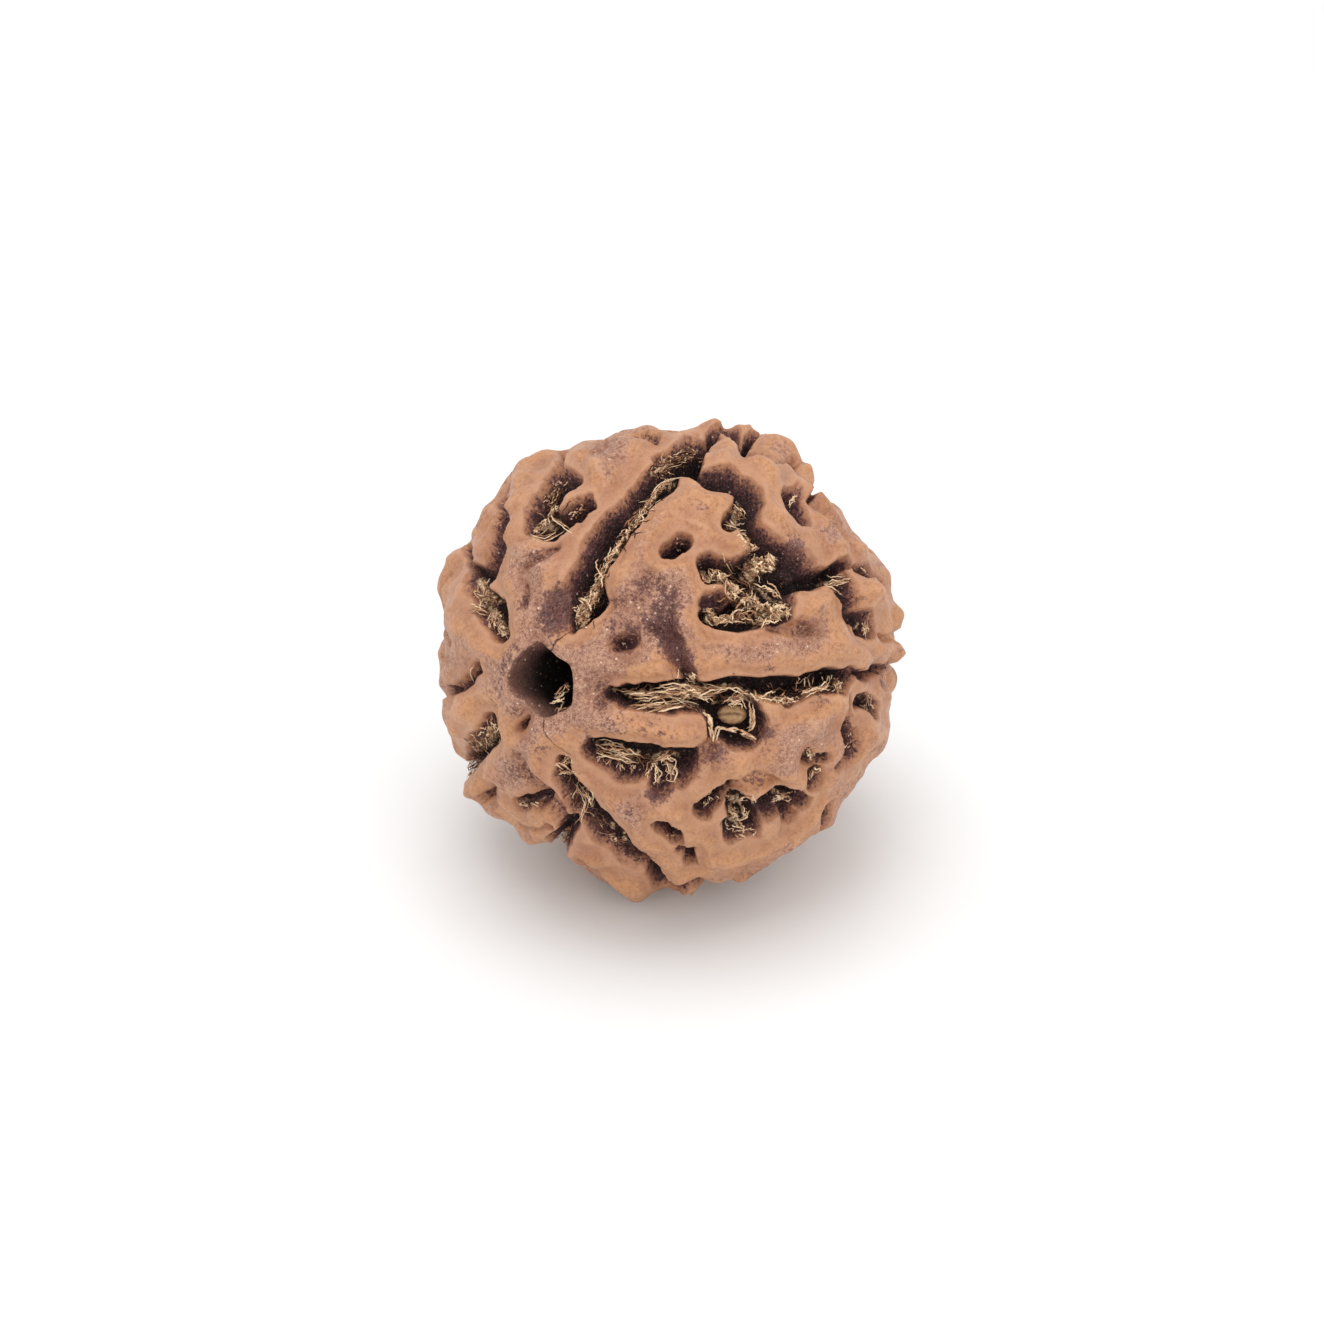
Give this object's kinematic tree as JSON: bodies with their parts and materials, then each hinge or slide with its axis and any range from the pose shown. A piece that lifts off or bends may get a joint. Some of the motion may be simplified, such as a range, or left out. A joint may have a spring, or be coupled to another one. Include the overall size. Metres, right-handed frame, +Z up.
{
  "type": "rudraksha seed",
  "caption": "Round woody rudraksha seed bead with deep clefts, fibrous pits, rounded knobs and a threading hole through it.",
  "frame": {"origin": "centre of the footprint on the surface that the seed rests on, under the middle of its body", "axes": "+Z up from the resting spot, the hole's near mouth towards -X and -Y, +X to the right as seen from -Y"},
  "size_m": [0.0236, 0.023, 0.0228],
  "materials": {
    "seed_brown": "satin, with dark and dusty hollows"
  },
  "bodies": {
    "root": {"rudraksha_seed": "seed_brown"}
  },
  "joints": []
}
